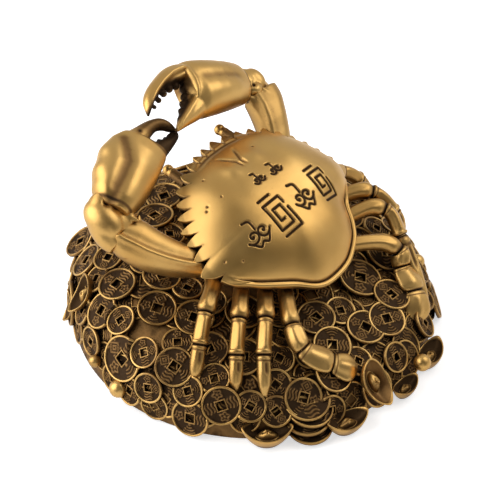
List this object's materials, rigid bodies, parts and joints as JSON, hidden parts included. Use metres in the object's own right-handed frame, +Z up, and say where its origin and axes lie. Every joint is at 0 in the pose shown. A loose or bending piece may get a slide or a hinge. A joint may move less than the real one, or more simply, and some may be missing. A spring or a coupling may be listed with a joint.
{
  "type": "crab figurine",
  "caption": "Cast brass crab with segmented legs and large claws, fixed on a round heap of pierced coins and small ingots.",
  "frame": {"origin": "middle of the bounding box at the resting plane", "axes": "+Z up, the crab's eyes face -Y and its left side is +X"},
  "size_m": [0.2128, 0.21, 0.1319],
  "materials": {
    "crab_brass": "satin, antique",
    "heap_brass": "satin, darkened in the recesses",
    "coin_brass": "satin, antique",
    "ornament_brass": "satin, antique",
    "plate_brass": "brushed",
    "screw_steel": "zinc plated",
    "felt": "matt felt"
  },
  "bodies": {
    "root": {"base_plate": "plate_brass", "beads": "ornament_brass", "body_screws": "screw_steel", "carapace": "crab_brass", "felt_pad": "felt", "ingots": "ornament_brass", "large_coins": "coin_brass", "left_claw_arm": "crab_brass", "left_claw_finger": "crab_brass", "left_claw_palm": "crab_brass", "left_claw_wrist": "crab_brass", "left_eye": "crab_brass", "left_leg_1_shin": "crab_brass", "left_leg_1_thigh": "crab_brass", "left_leg_1_tip": "crab_brass", "left_leg_2_shin": "crab_brass", "left_leg_2_thigh": "crab_brass", "left_leg_2_tip": "crab_brass", "left_leg_3_shin": "crab_brass", "left_leg_3_thigh": "crab_brass", "left_leg_3_tip": "crab_brass", "left_leg_4_knee": "crab_brass", "left_leg_4_paddle": "crab_brass", "left_leg_4_shin": "crab_brass", "left_leg_4_thigh": "crab_brass", "medium_coins": "coin_brass", "mound_casting": "heap_brass", "plate_screws": "screw_steel", "right_claw_arm": "crab_brass", "right_claw_finger": "crab_brass", "right_claw_palm": "crab_brass", "right_claw_wrist": "crab_brass", "right_eye": "crab_brass", "right_leg_1_shin": "crab_brass", "right_leg_1_thigh": "crab_brass", "right_leg_1_tip": "crab_brass", "right_leg_2_shin": "crab_brass", "right_leg_2_thigh": "crab_brass", "right_leg_2_tip": "crab_brass", "right_leg_3_shin": "crab_brass", "right_leg_3_thigh": "crab_brass", "right_leg_3_tip": "crab_brass", "right_leg_4_knee": "crab_brass", "right_leg_4_paddle": "crab_brass", "right_leg_4_shin": "crab_brass", "right_leg_4_thigh": "crab_brass", "small_coins": "coin_brass", "underbody": "crab_brass"}
  },
  "joints": []
}
